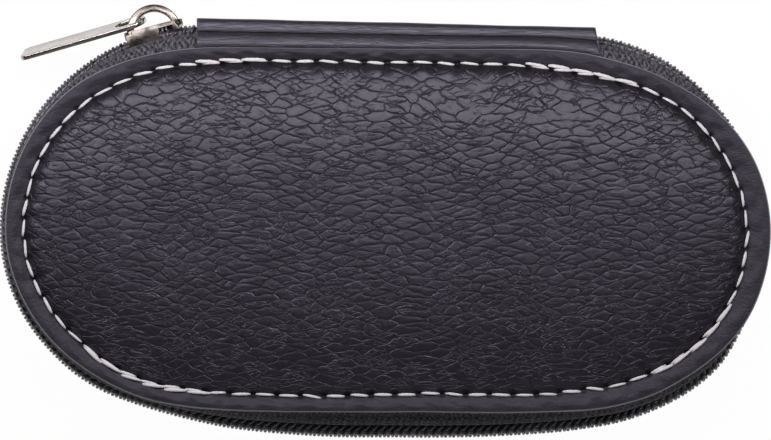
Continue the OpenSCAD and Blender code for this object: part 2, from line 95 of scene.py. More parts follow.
# The rim's cut edge
EDGE_STRAY = (
    (0, 0.8), (0.3, 0.6), (0.6, -0.1), (0.75, -0.5), (0.9, -0.3), (1.15, 0.6), (1.3, 0.5), (1.5, -0.2),
    (1.7, -0.8), (1.9, -1.1), (2.4, -0.9), (2.9, -0.2), (3.1, -0.6), (3.25, -0.4), (3.4, 0.1), (3.55, 0.2),
    (4.1, 0.1), (4.3, -0.3), (4.65, -0.9), (4.8, -0.8), (5.1, 0), (5.3, 0), (5.75, -0.4), (6.15, -0.5),
    (6.55, 0), (6.95, 0.3), (7.1, -0.1), (7.35, -0.2), (7.65, 0.8), (8, 0.8))
# The zip, which stays true where the slider runs
ZIP_STRAY = (
    (0, 0), (0.5, 0), (0.75, 0.6), (1, 1), (1.3, 1), (2, 0), (2.9, 0.3), (3.55, 0.3), (4, 0.2),
    (4.6, -0.2), (5.1, 0.4), (5.4, 0.5), (5.65, 0), (6, -0.4), (6.5, 0), (6.85, 0.2), (7.05, 0),
    (7.2, 0), (7.4, 0.5), (7.5, 0.7), (7.6, 0.2), (7.7, 0), (8, 0))


# Outlines

def quarter(a, b, bow):
    """A quarter of an outline, half length a and half width b: an end arc of radius b - bow
    that runs into a side arc tangent to it. Gives end centre, end radius, side centre, side
    radius and the side arc's angle in degrees."""
    r = b - bow
    c = a - r
    side_r = (c * c + b * b - r * r) / (2 * bow)
    return c, r, side_r - b, side_r, math.degrees(math.asin(c / (side_r - r)))


def outline(length, width, bows):
    """Eight arcs counter-clockwise from +X, as rows of centre x, centre y, radius, from, to."""
    q = [quarter(length / 2, width / 2, b) for b in bows]
    return np.array([
        (q[0][0], 0, q[0][1], 0, 90 - q[0][4]), (0, -q[0][2], q[0][3], 90 - q[0][4], 90),
        (0, -q[1][2], q[1][3], 90, 90 + q[1][4]), (-q[1][0], 0, q[1][1], 90 + q[1][4], 180),
        (-q[2][0], 0, q[2][1], 180, 270 - q[2][4]), (0, q[2][2], q[2][3], 270 - q[2][4], 270),
        (0, q[3][2], q[3][3], 270, 270 + q[3][4]), (q[3][0], 0, q[3][1], 270 + q[3][4], 360)])


PANEL = outline(PANEL_LEN, PANEL_WID, PANEL_BOWS)
ZIP = outline(CASE_LEN, CASE_WID, ZIP_BOWS)


def heading(arcs, t):
    """Outward direction, in radians, at arc number plus share t."""
    i = np.floor(t).astype(int) % 8
    return np.radians(arcs[i, 3] + (arcs[i, 4] - arcs[i, 3]) * (t - np.floor(t)))


def on_outline(arcs, t, out):
    """Points at arc number plus share t, moved outward: centre + (radius + out) * direction."""
    i = np.floor(t).astype(int) % 8
    a = heading(arcs, t)
    reach = arcs[i, 2] + out
    return np.stack([arcs[i, 0] + reach * np.cos(a), arcs[i, 1] + reach * np.sin(a)], -1)


def eased_course(turning_points):
    """A function of t from its turning points round the outline: linear, then averaged twice
    over a tenth of an arc so that it has no corners."""
    per_arc = 1200
    fine = np.arange(-2 * per_arc, 10 * per_arc) / per_arc
    value = np.interp(fine % 8, *zip(*turning_points))
    window = per_arc // 10 + 1
    for _ in range(2):
        value = np.convolve(value, np.full(window, 1 / window), "same")
    return lambda t: np.interp(np.asarray(t) % 8, fine, value)


seam_stray = eased_course(SEAM_STRAY)
edge_stray = eased_course(EDGE_STRAY)
zip_stray = eased_course(ZIP_STRAY)


def strayed(t, d):
    """Outward shift at a distance d inside the panel's outline: the edge's shift runs over to
    the seam's, and that fades out over the pad, 9 mm further in."""
    to_seam = np.clip(d / SEAM_IN, 0, 1)
    fade = np.clip(1 - (d - SEAM_IN) / 9, 0, 1)
    return (edge_stray(t) * (1 - to_seam) + seam_stray(t) * to_seam) * fade


def run_of(points):
    """Running length along rows of points."""
    return np.concatenate([[0], np.cumsum(np.linalg.norm(np.diff(points, axis=0), axis=1))])


def even_steps(arcs, out, start, stop, n):
    """n values of t between start and stop that lie evenly along the moved outline, from its
    tabulated running length read backwards, and the whole length."""
    fine = np.linspace(start, stop, 6000)
    run = run_of(on_outline(arcs, fine, np.full_like(fine, out)))
    return np.interp(np.linspace(0, run[-1], n), run, fine), run[-1]


def t_at_x(arcs, out, x, start, stop):
    """The value of t between start and stop where the moved outline has this x."""
    fine = np.linspace(start, stop, 8000)
    return fine[np.argmin(np.abs(on_outline(arcs, fine, np.full_like(fine, out))[:, 0] - x))]


def curve_through(knots, n):
    """Catmull-Rom curve through the knots, n points evenly spaced along it."""
    k = np.asarray(knots, float)
    k = np.vstack([2 * k[0] - k[1], k, 2 * k[-1] - k[-2]])
    u = np.linspace(0, 1, 24, endpoint=False)[:, None]
    parts = [0.5 * (2 * b + (c - a) * u + (2 * a - 5 * b + 4 * c - d) * u ** 2
                    + (3 * b - a - 3 * c + d) * u ** 3) for a, b, c, d in zip(k, k[1:], k[2:], k[3:])]
    p = np.vstack(parts + [k[-2:-1]])
    run = run_of(p)
    at = np.linspace(0, run[-1], n)
    return np.stack([np.interp(at, run, p[:, i]) for i in range(p.shape[1])], -1)


def thickened(line, half):
    """Closed section round a line in a plane: the line moved half a thickness to its right,
    then back along the line moved as far to its left."""
    side = np.gradient(line, axis=0)
    side /= np.linalg.norm(side, axis=1, keepdims=True)
    normal = np.column_stack([side[:, 1], -side[:, 0]]) * np.reshape(half, (-1, 1))
    return np.vstack([line + normal, (line - normal)[::-1]])


# Meshes

def quads(rows, cols, close_rows=False, close_cols=False):
    """Faces of a grid of rows by cols points, wrapped round where it closes."""
    r = np.arange(rows if close_rows else rows - 1)[:, None]
    c = np.arange(cols if close_cols else cols - 1)[None, :]
    r1, c1 = (r + 1) % rows, (c + 1) % cols
    return np.stack([r * cols + c, r1 * cols + c, r1 * cols + c1, r * cols + c1], -1).reshape(-1, 4)


def mesh_piece(name, points, faces, material, smooth=True):
    """A mesh object from points in millimetres and faces."""
    mesh = bpy.data.meshes.new(name)
    corners = [list(map(int, face)) for face in faces]
    mesh.from_pydata((np.asarray(points).reshape(-1, 3) * MM).tolist(), [], corners)
    mesh.polygons.foreach_set("use_smooth", np.full(len(mesh.polygons), smooth))
    mesh.materials.append(material)
    piece = bpy.data.objects.new(name, mesh)
    bpy.context.collection.objects.link(piece)
    return piece


def turned_out(piece):
    """The piece with its points in one place made one and every face turned outward."""
    work = bmesh.new()
    work.from_mesh(piece.data)
    bmesh.ops.remove_doubles(work, verts=work.verts, dist=1e-7)
    bmesh.ops.recalc_face_normals(work, faces=work.faces)
    work.to_mesh(piece.data)
    work.free()
    return piece


def give_uv(piece, per_point):
    """UV map "along" from one pair of values for each point."""
    corner = np.empty(len(piece.data.loops), int)
    piece.data.loops.foreach_get("vertex_index", corner)
    uv = np.asarray(per_point, np.float32).reshape(-1, 2)[corner]
    piece.data.uv_layers.new(name="along").data.foreach_set("uv", uv.ravel())


def give_value(piece, name, per_point):
    """A named attribute from one value for each point."""
    layer = piece.data.attributes.new(name, "FLOAT", "POINT")
    layer.data.foreach_set("value", np.asarray(per_point, np.float32).ravel())


def settle(piece, body, slot, *nodes):
    """Makes a piece ride on a body and hides the CAD nodes it stands in for. Its slot is not used."""
    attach(piece, body)
    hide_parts(*nodes)


def tubes(paths, radii, guides, around=8, squash=1.0, plies=0, turns=0.0):
    """Tubes along m paths of k points: a ring round each point, in the plane of the guide
    direction made square to the path and of their cross product. Plies add ridges that turn
    along the tube: radius * (1 + 0.12 cos(plies * (angle - turns * share)))."""
    paths = np.asarray(paths, float)
    m, k, _ = paths.shape
    along = np.gradient(paths, axis=1)
    along /= np.linalg.norm(along, axis=2, keepdims=True)
    g = np.broadcast_to(np.asarray(guides, float), paths.shape)
    g = g - (g * along).sum(2, keepdims=True) * along
    g /= np.linalg.norm(g, axis=2, keepdims=True)
    side = np.cross(along, g)
    ang = np.linspace(0, 2 * math.pi, around, endpoint=False)
    share = np.linspace(0, 1, k)[None, :, None]
    r = np.broadcast_to(np.asarray(radii, float), (m, k))[:, :, None] * np.ones(around)
    if plies:
        r = r * (1 + 0.12 * np.cos(plies * (ang - 2 * math.pi * turns * share)))
    ring = (paths[:, :, None] + (r * np.cos(ang) * squash)[..., None] * g[:, :, None]
            + (r * np.sin(ang))[..., None] * side[:, :, None])
    step = (np.arange(m) * k * around)[:, None, None]
    faces = (quads(k, around, close_cols=True)[None] + step).reshape(-1, 4).tolist()
    first = np.arange(around)
    for start in step.ravel():
        faces += [(start + first).tolist(), (start + (k - 1) * around + first[::-1]).tolist()]
    return ring.reshape(-1, 3), faces


def loft(sections):
    """Points and faces of closed sections carried along a run; each end gets a face."""
    rows, cols, _ = sections.shape
    faces = quads(rows, cols, close_cols=True).tolist()
    faces += [list(range(cols)), list(range(rows * cols - 1, (rows - 1) * cols - 1, -1))]
    return sections.reshape(-1, 3), faces


def ringed(t, outer, inner):
    """Closed shell of rings round the panel outline. The outer rows (distance inside the
    outline, height) run in from the edge, shrink to the middle and come back as the inner
    rows. Gives the points, the faces, and each row's distance and share of outer face."""
    shrink = np.concatenate([np.zeros(len(outer)), [0.2, 0.45, 0.7, 0.88, 1, 1, 0.5], np.zeros(len(inner))])
    rows = np.vstack([outer, [outer[-1]] * 5, [inner[0]] * 2, inner])
    skin = np.concatenate([np.ones(len(outer) + 5), np.zeros(2 + len(inner))])
    d = rows[:, 0][None]
    tt = t[:, None] + 0 * d
    xy = on_outline(PANEL, tt, strayed(tt, d) - d) * (1 - shrink)[None, :, None]
    points = np.dstack([xy, np.broadcast_to(rows[:, 1], xy.shape[:2])])
    n, m = points.shape[:2]
    faces = quads(n, m, close_rows=True, close_cols=True)
    return points, faces[faces[:, 0] % m != len(outer) + 4], d, skin


# Materials

def linear(colour):
    """Linear colour of an sRGB hex value."""
    c = [int(colour[i:i + 2], 16) / 255 for i in (1, 3, 5)]
    return (*[v / 12.92 if v <= 0.04045 else ((v + 0.055) / 1.055) ** 2.4 for v in c], 1.0)


def add(tree, kind, inputs=(), out=0, **settings):
    """Adds a node with its settings; an input is a value or the socket that feeds it. Gives
    one of its output sockets."""
    node = tree.nodes.new("ShaderNode" + kind)
    for key, value in settings.items():
        setattr(node, key, value)
    for key, value in dict(inputs).items():
        if isinstance(value, bpy.types.NodeSocket):
            tree.links.new(value, node.inputs[key])
        else:
            node.inputs[key].default_value = value
    return node.outputs[out]


def finish(name, **sockets):
    """A new material with values on its Principled shader: the material, its node tree, the
    shader and the object coordinates."""
    material = bpy.data.materials.new(name)
    material.use_nodes = True
    tree = material.node_tree
    shader = tree.nodes["Principled BSDF"]
    for key, value in sockets.items():
        shader.inputs[key.replace("_", " ")].default_value = value
    return material, tree, shader, add(tree, "TexCoord", out="Object")


def surface(tree, shader, colour, height, depth, rough=None):
    """Links a colour, a bump of the height over a depth in millimetres, and a roughness."""
    bump = add(tree, "Bump", {"Height": height, "Strength": 1.0, "Distance": depth * MM})
    tree.links.new(colour, shader.inputs["Base Color"])
    tree.links.new(bump, shader.inputs["Normal"])
    if rough is not None:
        tree.links.new(rough, shader.inputs["Roughness"])


def leather(name, wide, deep, tint, crease, edge, depth):
    """Embossed polyurethane leather: lens-shaped scales, wide by deep in millimetres, as the
    cells of a Voronoi pattern on two slanted coordinates, p = y/deep + x/wide and q = y/deep -
    x/wide, which slow noise bends. Creases part them, finer ones cross them here and there,
    and pores grain them. Painted shade darkens the creases towards the crease colour. The
    attribute "taut" flattens the creases and dulls the film. The attribute of the needle holes
    paints shade into them, and the edge attribute paints a highlight in the edge colour."""
    material, tree, shader, place = finish(name, Specular_Tint=(0.88, 0.86, 1.0, 1.0))
    split = add(tree, "SeparateXYZ", {0: place}).node
    across = add(tree, "Math", {0: split.outputs[0], 1: 1 / (wide * MM)}, operation="MULTIPLY")
    up = add(tree, "Math", {0: split.outputs[1], 1: split.outputs[2]}, operation="ADD")
    up = add(tree, "Math", {0: up, 1: 1 / (deep * MM)}, operation="MULTIPLY")
    slanted = []
    for shift, turn in ((0.0, 1), (0.06, -1)):
        moved = add(tree, "Mapping", {"Vector": place, "Location": (shift, 0, 0)})
        bend = add(tree, "TexNoise", {"Vector": moved, "Scale": 70, "Detail": 1})
        ripple = add(tree, "TexNoise", {"Vector": moved, "Scale": 420, "Detail": 2})
        run = add(tree, "Math", {0: across, 1: turn, 2: up}, operation="MULTIPLY_ADD")
        run = add(tree, "Math", {0: bend, 1: 2.8, 2: run}, operation="MULTIPLY_ADD")
        slanted.append(add(tree, "Math", {0: ripple, 1: 0.8, 2: run}, operation="MULTIPLY_ADD"))
    lens = add(tree, "CombineXYZ", {0: slanted[0], 1: slanted[1]})
    # Scale of the cells, their irregularity, crease width, and the patches where a crease shows
    layers = ((1.0, 0.5, 0.08, 260, (0.3, 0.5), 1.0), (1.9, 0.6, 0.12, 320, (0.44, 0.58), 0.7))
    lines, cells = [], []
    for scale, odd, width, noise, (low, high), most in layers:
        cell = add(tree, "TexVoronoi", {"Vector": lens, "Scale": scale, "Randomness": odd}, out="Distance",
                   feature="DISTANCE_TO_EDGE", voronoi_dimensions="2D")
        line = add(tree, "MapRange", {0: cell, 1: 0.0, 2: width, 3: 1.0, 4: 0.0},
                   interpolation_type="SMOOTHSTEP")
        patch = add(tree, "TexNoise", {"Vector": place, "Scale": noise, "Detail": 2})
        strong = add(tree, "MapRange", {0: patch, 1: low, 2: high, 3: 0.0, 4: most},
                     interpolation_type="SMOOTHSTEP")
        lines.append(add(tree, "Math", {0: line, 1: strong}, operation="MULTIPLY"))
        cells.append(cell)
    creases = add(tree, "Math", {0: lines[0], 1: lines[1]}, operation="MAXIMUM")
    swell = add(tree, "MapRange", {0: cells[0], 1: 0.0, 2: 0.3, 3: 0.0, 4: 0.24},
                interpolation_type="SMOOTHSTEP")
    grain = add(tree, "TexNoise", {"Vector": place, "Scale": 2100, "Detail": 4, "Roughness": 0.8})
    height = add(tree, "Math", {0: creases, 1: -0.75, 2: swell}, operation="MULTIPLY_ADD")
    taut = add(tree, "Attribute", out="Fac", attribute_name="taut")
    slack = add(tree, "Math", {0: taut, 1: -0.75, 2: 1.0}, operation="MULTIPLY_ADD")
    height = add(tree, "Math", {0: height, 1: slack}, operation="MULTIPLY")
    height = add(tree, "Math", {0: grain, 1: 0.5, 2: height}, operation="MULTIPLY_ADD")
    # Painted shade: the colour darkens towards the crease colour along the creases, less where the leather
    # is taut
    painted_crease_shade = add(tree, "Math", {0: creases, 1: slack}, operation="MULTIPLY")
    painted_crease_shade = add(tree, "Math", {0: painted_crease_shade, 1: 0.5}, operation="MULTIPLY")
    colour = add(tree, "Mix", {0: painted_crease_shade, 6: linear(tint), 7: linear(crease)}, out=2, data_type="RGBA")
    cloud = add(tree, "TexNoise", {"Vector": place, "Scale": 70, "Detail": 4})
    # The slow cloud varies the tone at random; the fine grain darkens its pits and lightens its rises,
    # painted shade and highlight
    for pattern, spread in ((cloud, 0.06), (grain, 0.25)):
        tone = add(tree, "MapRange", {0: pattern, 1: 0.35, 2: 0.65, 3: 1 - spread, 4: 1 + spread})
        colour = add(tree, "Mix", {0: 1.0, 6: colour, 7: tone}, out=2, data_type="RGBA",
                     blend_type="MULTIPLY")
    # Painted light from attributes: a highlight in the edge colour along edges, and near-black shade in the
    # needle holes
    for attribute, shade in (("painted_edge_highlight", edge), ("hole", "#060507")):
        share = add(tree, "Attribute", out="Fac", attribute_name=attribute)
        colour = add(tree, "Mix", {0: share, 6: colour, 7: linear(shade)}, out=2, data_type="RGBA")
    rough = add(tree, "MapRange", {0: grain, 1: 0.3, 2: 0.7, 3: 0.28, 4: 0.46})
    rough = add(tree, "Math", {0: taut, 1: 0.22, 2: rough}, operation="MULTIPLY_ADD")
    surface(tree, shader, colour, height, depth, rough)
    return material


def woven(name, warp, weft, tint, dark, depth, sheen=0.0):
    """Woven polyester: threads along and across the piece's UV map in millimetres, as a plain
    weave sin(u) sin(v) and a faint twill sin(u + v), under strong noise from thread to thread.
    The colour goes from the tint on the weave's crowns to the dark colour in its dips: painted
    shade between the threads."""
    material, tree, shader, _ = finish(name, Roughness=0.8, Sheen_Weight=sheen)
    uv = add(tree, "UVMap", uv_map="along")
    split = add(tree, "SeparateXYZ", {0: uv}).node
    u = add(tree, "Math", {0: split.outputs[0], 1: 2 * math.pi / warp}, operation="MULTIPLY")
    v = add(tree, "Math", {0: split.outputs[1], 1: 2 * math.pi / weft}, operation="MULTIPLY")
    both = add(tree, "Math", {0: u, 1: v}, operation="ADD")
    twill = add(tree, "Math", {0: both}, operation="SINE")
    over = add(tree, "Math", {0: u}, operation="SINE")
    under = add(tree, "Math", {0: v}, operation="SINE")
    plain = add(tree, "Math", {0: over, 1: under}, operation="MULTIPLY")
    weave = add(tree, "Math", {0: twill, 1: 0.2, 2: plain}, operation="MULTIPLY_ADD")
    speck = add(tree, "TexNoise", {"Vector": uv, "Scale": 2.2, "Detail": 3, "Roughness": 0.7})
    weave = add(tree, "Math", {0: weave, 1: 0.09, 2: speck}, operation="MULTIPLY_ADD")
    share = add(tree, "MapRange", {0: weave, 1: 0.4, 2: 0.64, 3: 0.0, 4: 1.0})
    colour = add(tree, "Mix", {0: share, 6: linear(dark), 7: linear(tint)}, out=2, data_type="RGBA")
    surface(tree, shader, colour, weave, depth)
    return material


def thread(name, light, dark):
    """Spun polyester thread: fibres drawn 0.2 mm apart, as coarse as they need to show. Its
    colour goes grey where the fibres dip: painted shade between them.
    """
    material, tree, shader, place = finish(name, Roughness=0.75, Sheen_Weight=0.3)
    fibre = add(tree, "TexNoise", {"Vector": place, "Scale": 5200, "Detail": 2})
    colour = add(tree, "Mix", {0: fibre, 6: linear(dark), 7: linear(light)}, out=2, data_type="RGBA")
    surface(tree, shader, colour, fibre, 0.05)
    return material


def metal(name, tint, dark, rough, streak, wear, pits):
    """Metal whose tone and roughness change along streaks; pits are the soft hollows of a
    tumbled casting."""
    material, tree, shader, place = finish(name, Metallic=1.0, Roughness=rough)
    drawn = add(tree, "Mapping", {"Vector": place, "Scale": streak})
    lines = add(tree, "TexNoise", {"Vector": drawn, "Scale": 900, "Detail": 4, "Roughness": 0.65})
    cloud = add(tree, "TexNoise", {"Vector": place, "Scale": 320, "Detail": 3})
    share = add(tree, "MapRange", {0: cloud, 1: 0.35, 2: 0.65, 3: 0.0, 4: 1.0})
    colour = add(tree, "Mix", {0: share, 6: linear(dark), 7: linear(tint)}, out=2, data_type="RGBA")
    blur = add(tree, "MapRange", {0: lines, 1: 0.3, 2: 0.7, 3: rough - 0.07, 4: rough + 0.09})
    height = add(tree, "Math", {0: cloud, 1: pits, 2: lines}, operation="MULTIPLY_ADD")
    surface(tree, shader, colour, height, wear, blur)
    return material


def speckled(name, tint, dark, grain, rough, depth, sheen=0.0, pores=False):
    """A body colour broken up by noise, or by round pores, of a real size in millimetres. The
    pores darken towards their middles: painted shade.
    """
    material, tree, shader, place = finish(name, Roughness=rough, Sheen_Weight=sheen)
    kind, socket = ("TexVoronoi", "Distance") if pores else ("TexNoise", "Fac")
    fine = add(tree, kind, {"Vector": place, "Scale": 1 / (grain * MM)}, out=socket)
    broad = add(tree, "TexNoise", {"Vector": place, "Scale": 90, "Detail": 3})
    both = add(tree, "Math", {0: fine, 1: broad}, operation="MULTIPLY")
    share = add(tree, "MapRange", {0: both, 1: 0.12, 2: 0.4, 3: 0.0, 4: 1.0})
    colour = add(tree, "Mix", {0: share, 6: linear(dark), 7: linear(tint)}, out=2, data_type="RGBA")
    surface(tree, shader, colour, fine, depth)
    return material


# Polyurethane leather, embossed by a roller: flat scales with hair-thin creases, a satin film
# Painted shade darkens its creases and needle holes; a painted highlight lightens the bead of its turned
# edge
COVER_LEATHER = leather("embossed_pu_leather", 4.4, 1.8, "#1a181c", "#060507", "#a6a1aa", 0.11)
# The same film on a folded strip: the fold draws the scales out along it
# Painted shade darkens its creases; a painted highlight lightens its two cut ends
SPINE_LEATHER = leather("folded_pu_leather", 9.0, 0.9, "#29272b", "#161417", "#8a858e", 0.02)
# Spun polyester sewing thread: matt white, with painted shade in grey between its fibres
WHITE_THREAD = thread("spun_polyester_thread", "#e9e7e5", "#b0adac")
# Woven polyester zip tape: matt, grey on the crowns of its threads, with painted shade nearly black in the
# dips between them, flecked by noise
ZIP_TAPE = woven("woven_polyester_tape", 0.85, 0.8, "#68656b", "#060507", 0.6)
# Braided elastic: ribs across its length and a faint sheen from its bright yarn; painted shade darkens the
# dips between its ribs
ELASTIC = woven("braided_elastic", 0.9, 1.1, "#302d33", "#121114", 0.7, sheen=0.2)
# Nylon monofilament: smooth and half glossy, so each turn carries a small light
COIL_NYLON = speckled("nylon_monofilament", "#66636c", "#1c1b1e", 0.6, 0.3, 0.01)
# Nickel plate over a tumbled zinc casting: bright, warm grey, softly pitted
NICKEL = metal("nickel_plated_zinc", "#c9c2ba", "#b3aba2", 0.2, (1, 1, 1), 0.006, 0.8)
# The same plate on the slider's rough casting, tumbled less: darker, with deeper pits
CAST_NICKEL = metal("nickel_plated_casting", "#7d7770", "#3b3733", 0.27, (1, 1, 1), 0.03, 1.6)
# Stainless steel brushed along the tool
STEEL = metal("brushed_stainless_steel", "#c4c2be", "#a9a7a3", 0.27, (0.08, 1.6, 1.6), 0.008, 0.0)
# Cross-cut file steel: its teeth, drawn 0.4 mm apart, scatter the light
CUT_STEEL = metal("cross_cut_steel", "#a7a5a2", "#7c7a77", 0.42, (2.5, 2.5, 2.5), 0.05, 0.5)
# Microfibre suede lining: matt, with a pale bloom at grazing angles
LINING = speckled("microfibre_suede", "#37353a", "#1d1c1f", 0.35, 0.95, 0.05, sheen=0.5)
# Moulded ABS: plain and half glossy
HANDLE = speckled("moulded_abs", "#1f1e22", "#161518", 0.4, 0.35, 0.01)
# Cut polyurethane foam: open round pores, with painted shade in them
FOAM = speckled("open_cell_foam", "#6d6c70", "#3e3d41", 0.7, 0.95, 0.12, pores=True)
# Pressed grey board: matt and fibrous
BOARD = speckled("pressed_grey_board", "#a08a6c", "#7d6b52", 0.9, 0.9, 0.03)


# Covers

fine_t = np.linspace(0, 8, 24001)
fine_xy = on_outline(PANEL, fine_t, seam_stray(fine_t) - SEAM_IN)
end_share = np.clip((np.abs(fine_xy[:, 0]) - 28) / 24, 0, 1)
pitch = PITCH_SIDES + (PITCH_ENDS - PITCH_SIDES) * end_share
counted = np.concatenate([[0], np.cumsum(np.diff(run_of(fine_xy)) / pitch[1:])])
STITCHES = int(round(counted[-1]))
# Number of stitches from the start of the seam, at each of the fine steps round it
counted *= STITCHES / counted[-1]
STATIONS = 12


def cover(name, crown, lid):
    """Padded leather cover. Its section runs from the turned edge over a thin bead and the
    rim, which falls inward, down into the sewn groove and up over the pad to the middle.
    Depth = smooth section + dimples at the needle holes + puckers of rim and pad that swell
    between the stitches + slanted folds along the rim + a slow unevenness."""
    t = np.interp(np.arange(STITCHES * STATIONS) / STATIONS, counted, fine_t)
    swell = (9.2, crown * 0.68)
    outer = curve_through([
        (0.55, crown + 3.0), (0.14, crown + 2.85), (0.0, crown + 2.4), (0.0, crown + 1.7),
        (0.08, crown + 1.15), (0.22, crown + 0.82), (0.42, crown + 0.8), (0.62, crown + 0.78),
        (1.0, crown + 0.78), (1.5, crown + 0.88), (2.1, crown + 1.08), (2.6, crown + 1.28),
        (SEAM_IN, crown + 1.42), (3.4, crown + 1.2), (3.9, crown + 0.78), (4.7, crown + 0.4),
        (5.8, crown + 0.16), (SHOULDER_IN, crown * 0.98), swell], 84)
    flat = curve_through([swell, (13.0, crown * 0.25), (CROWN_IN, 0)], 12)
    outer = np.vstack([outer[:-1], flat])
    inner = np.array([
        (CROWN_IN, LEATHER_T), (13.0, LEATHER_T + crown * 0.25), (9.2, LEATHER_T + crown * 0.68),
        (SHOULDER_IN, LEATHER_T + crown), (PAD_IN, crown + 1.85), (PAD_IN - 0.2, crown + 2.0),
        (PAD_IN - 0.2, crown + 3.0)])
    points, faces, d, skin = ringed(t, outer, inner)
    phase = (np.arange(len(t)) / STATIONS) % 1.0
    pull = (0.7 + 0.6 * rng.random(STITCHES))[np.arange(len(t)) // STATIONS][:, None]
    from_hole = np.minimum(phase, 1 - phase)[:, None] * PITCH_SIDES
    hole = np.exp(-((d - SEAM_IN) / 0.4) ** 2 - (from_hole / 0.46) ** 2)
    wave = np.cos(2 * math.pi * phase)[:, None]
    rim = np.exp(-((d - 1.8) / 0.6) ** 2) * 0.07 * wave * pull
    pad = np.exp(-((d - 4.2) / 0.8) ** 2) * 0.12 * wave * pull
    turn = (2 * math.pi * np.arange(len(t)) / len(t))[:, None]
    slant = np.sin(47 * turn + 1.7 * d + 1.5 * np.sin(9 * turn))
    slant = slant + 0.7 * np.sin(71 * turn - 1.3 * d + 2 * np.sin(5 * turn))
    rim += np.exp(-((d - 1.6) / 0.85) ** 2) * 0.07 * slant
    x, y = points[..., 0], points[..., 1]
    uneven = 0.05 + 0.05 * np.sin(x / 7.3 + 1) * np.sin(y / 5.9) + 0.03 * np.sin(x / 3.1 + y / 4.3)
    on_pad = np.clip((d - 3.2) / 4, 0, 1) * (1 if lid else 0.35)
    points[..., 2] += skin * (0.5 * hole * pull + rim + pad + on_pad * uneven)
    if lid:
        points[..., 2] = CASE_H - points[..., 2]
    piece = mesh_piece(name, points, faces, COVER_LEATHER)
    give_value(piece, "taut", np.clip((3.9 - d) / 1.2, 0, 1) * np.ones_like(x))
    # Painted shade in and round the needle holes
    give_value(piece, "hole", np.clip(hole * 1.9 * skin, 0, 1))
    # Painted highlight along the thin bead of the turned edge
    give_value(piece, "painted_edge_highlight", 0.65 * np.exp(-((d - 0.14) / 0.07) ** 2) * skin * np.ones_like(x))
    turned_out(piece)
    return piece


def stitching(name, crown, lid):
    """White topstitches: twisted spindles from needle hole to needle hole, each a little
    longer, thicker or more slanted than the next, with a second row at four places where it
    was sewn over. Their height falls as share^4, so that the ends dive into the holes."""
    doubled = [np.floor(counted[np.argmin(np.linalg.norm(fine_xy - place, axis=1))]) + first
               for place, first in (((31.4, 25.5), np.arange(-2, 3)), ((-25.7, 25.8), np.arange(-2, 1)),
                                    ((-36.7, -23.6), np.arange(-3, 3)), ((47.5, -17.1), np.arange(-2, 3)))]
    number = np.concatenate([np.arange(STITCHES)] + doubled) + 0.5
    second = np.arange(len(number)) >= STITCHES
    number += np.where(second, 0.2, 0)
    aside = rng.normal(0, 0.05, len(number)) + np.where(second, 0.26, 0)
    t = np.interp(number % STITCHES, counted, fine_t)
    a = heading(PANEL, t)
    slant = rng.normal(-0.04, 0.06, len(t))
    ends = np.clip((np.abs(np.cos(a)) - 0.5) * 2, 0, 1)
    length = STITCH_LEN * rng.uniform(0.93, 1.05, len(t)) * (1 - 0.06 * ends) * np.where(second, 1.3, 1)
    fat = rng.uniform(0.9, 1.12, len(t)) * np.where(second, 1.2, 1)
    u = np.linspace(-1, 1, 13)
    run = np.stack([-np.sin(a + slant), np.cos(a + slant)], -1)
    middle = on_outline(PANEL, t, seam_stray(t) - SEAM_IN + aside)
    xy = middle[:, None] + run[:, None] * (u[:, None] * length[:, None, None] / 2)
    depth = crown + 1.12 + 0.5 * np.abs(u) ** 4 + np.where(second, -0.1, 0)[:, None]
    paths = np.dstack([xy, CASE_H - depth if lid else depth])
    radius = THREAD_R * fat[:, None] * (1 - 0.6 * np.abs(u) ** 3)
    points, faces = tubes(paths, radius, (0, 0, 1.0), around=10, squash=0.85, plies=3, turns=1.6)
    return turned_out(mesh_piece(name, points, faces, WHITE_THREAD))


def lining(name, crown, lid):
    """Suede lining: flat on the board, down over its edge and out onto the root of the tape,
    with shallow waves along the step."""
    t, _ = even_steps(PANEL, 0, 0, 8, 361)
    t = t[:-1]
    base, top = crown + RIM_TOP + TAPE_T, crown + FLOOR_Z
    outer = curve_through([
        (1.3, base + 0.04), (1.22, base + 0.3), (1.4, base + 0.56), (2.2, base + LINING_T),
        (3.4, base + 0.62), (PAD_IN - 0.3, base + 0.8), (PAD_IN + 0.3, top - 0.06), (5.6, top),
        (9.0, top + 0.02), (CROWN_IN, top)], 40)
    inner = np.array([(CROWN_IN, top - LINING_T), (9.0, top - LINING_T), (PAD_IN - 0.1, crown + BOARD_TOP),
                      (PAD_IN - 0.4, base + 0.02), (1.5, base + 0.02)])
    points, faces, d, skin = ringed(t, outer, inner)
    step = np.exp(-((d - PAD_IN) / 0.9) ** 2)
    points[..., 2] += skin * step * 0.06 * np.sin(t * 21)[:, None]
    points[..., 2] += skin * 0.03 * np.sin(points[..., 0] / 6.1) * np.sin(points[..., 1] / 4.7)
    if lid:
        points[..., 2] = CASE_H - points[..., 2]
    return turned_out(mesh_piece(name, points, faces, LINING))


for side, crown, lid in (("base", 0.0, False), ("lid", LID_CROWN, True)):
    settle(cover(side + "_leather", crown, lid), side, "cover_leather", side + "_cover")
    settle(stitching(side + "_topstitch", crown, lid), side, "white_thread", side + "_stitching")
    settle(lining(side + "_suede", crown, lid), side, "lining", side + "_lining")


# Zip

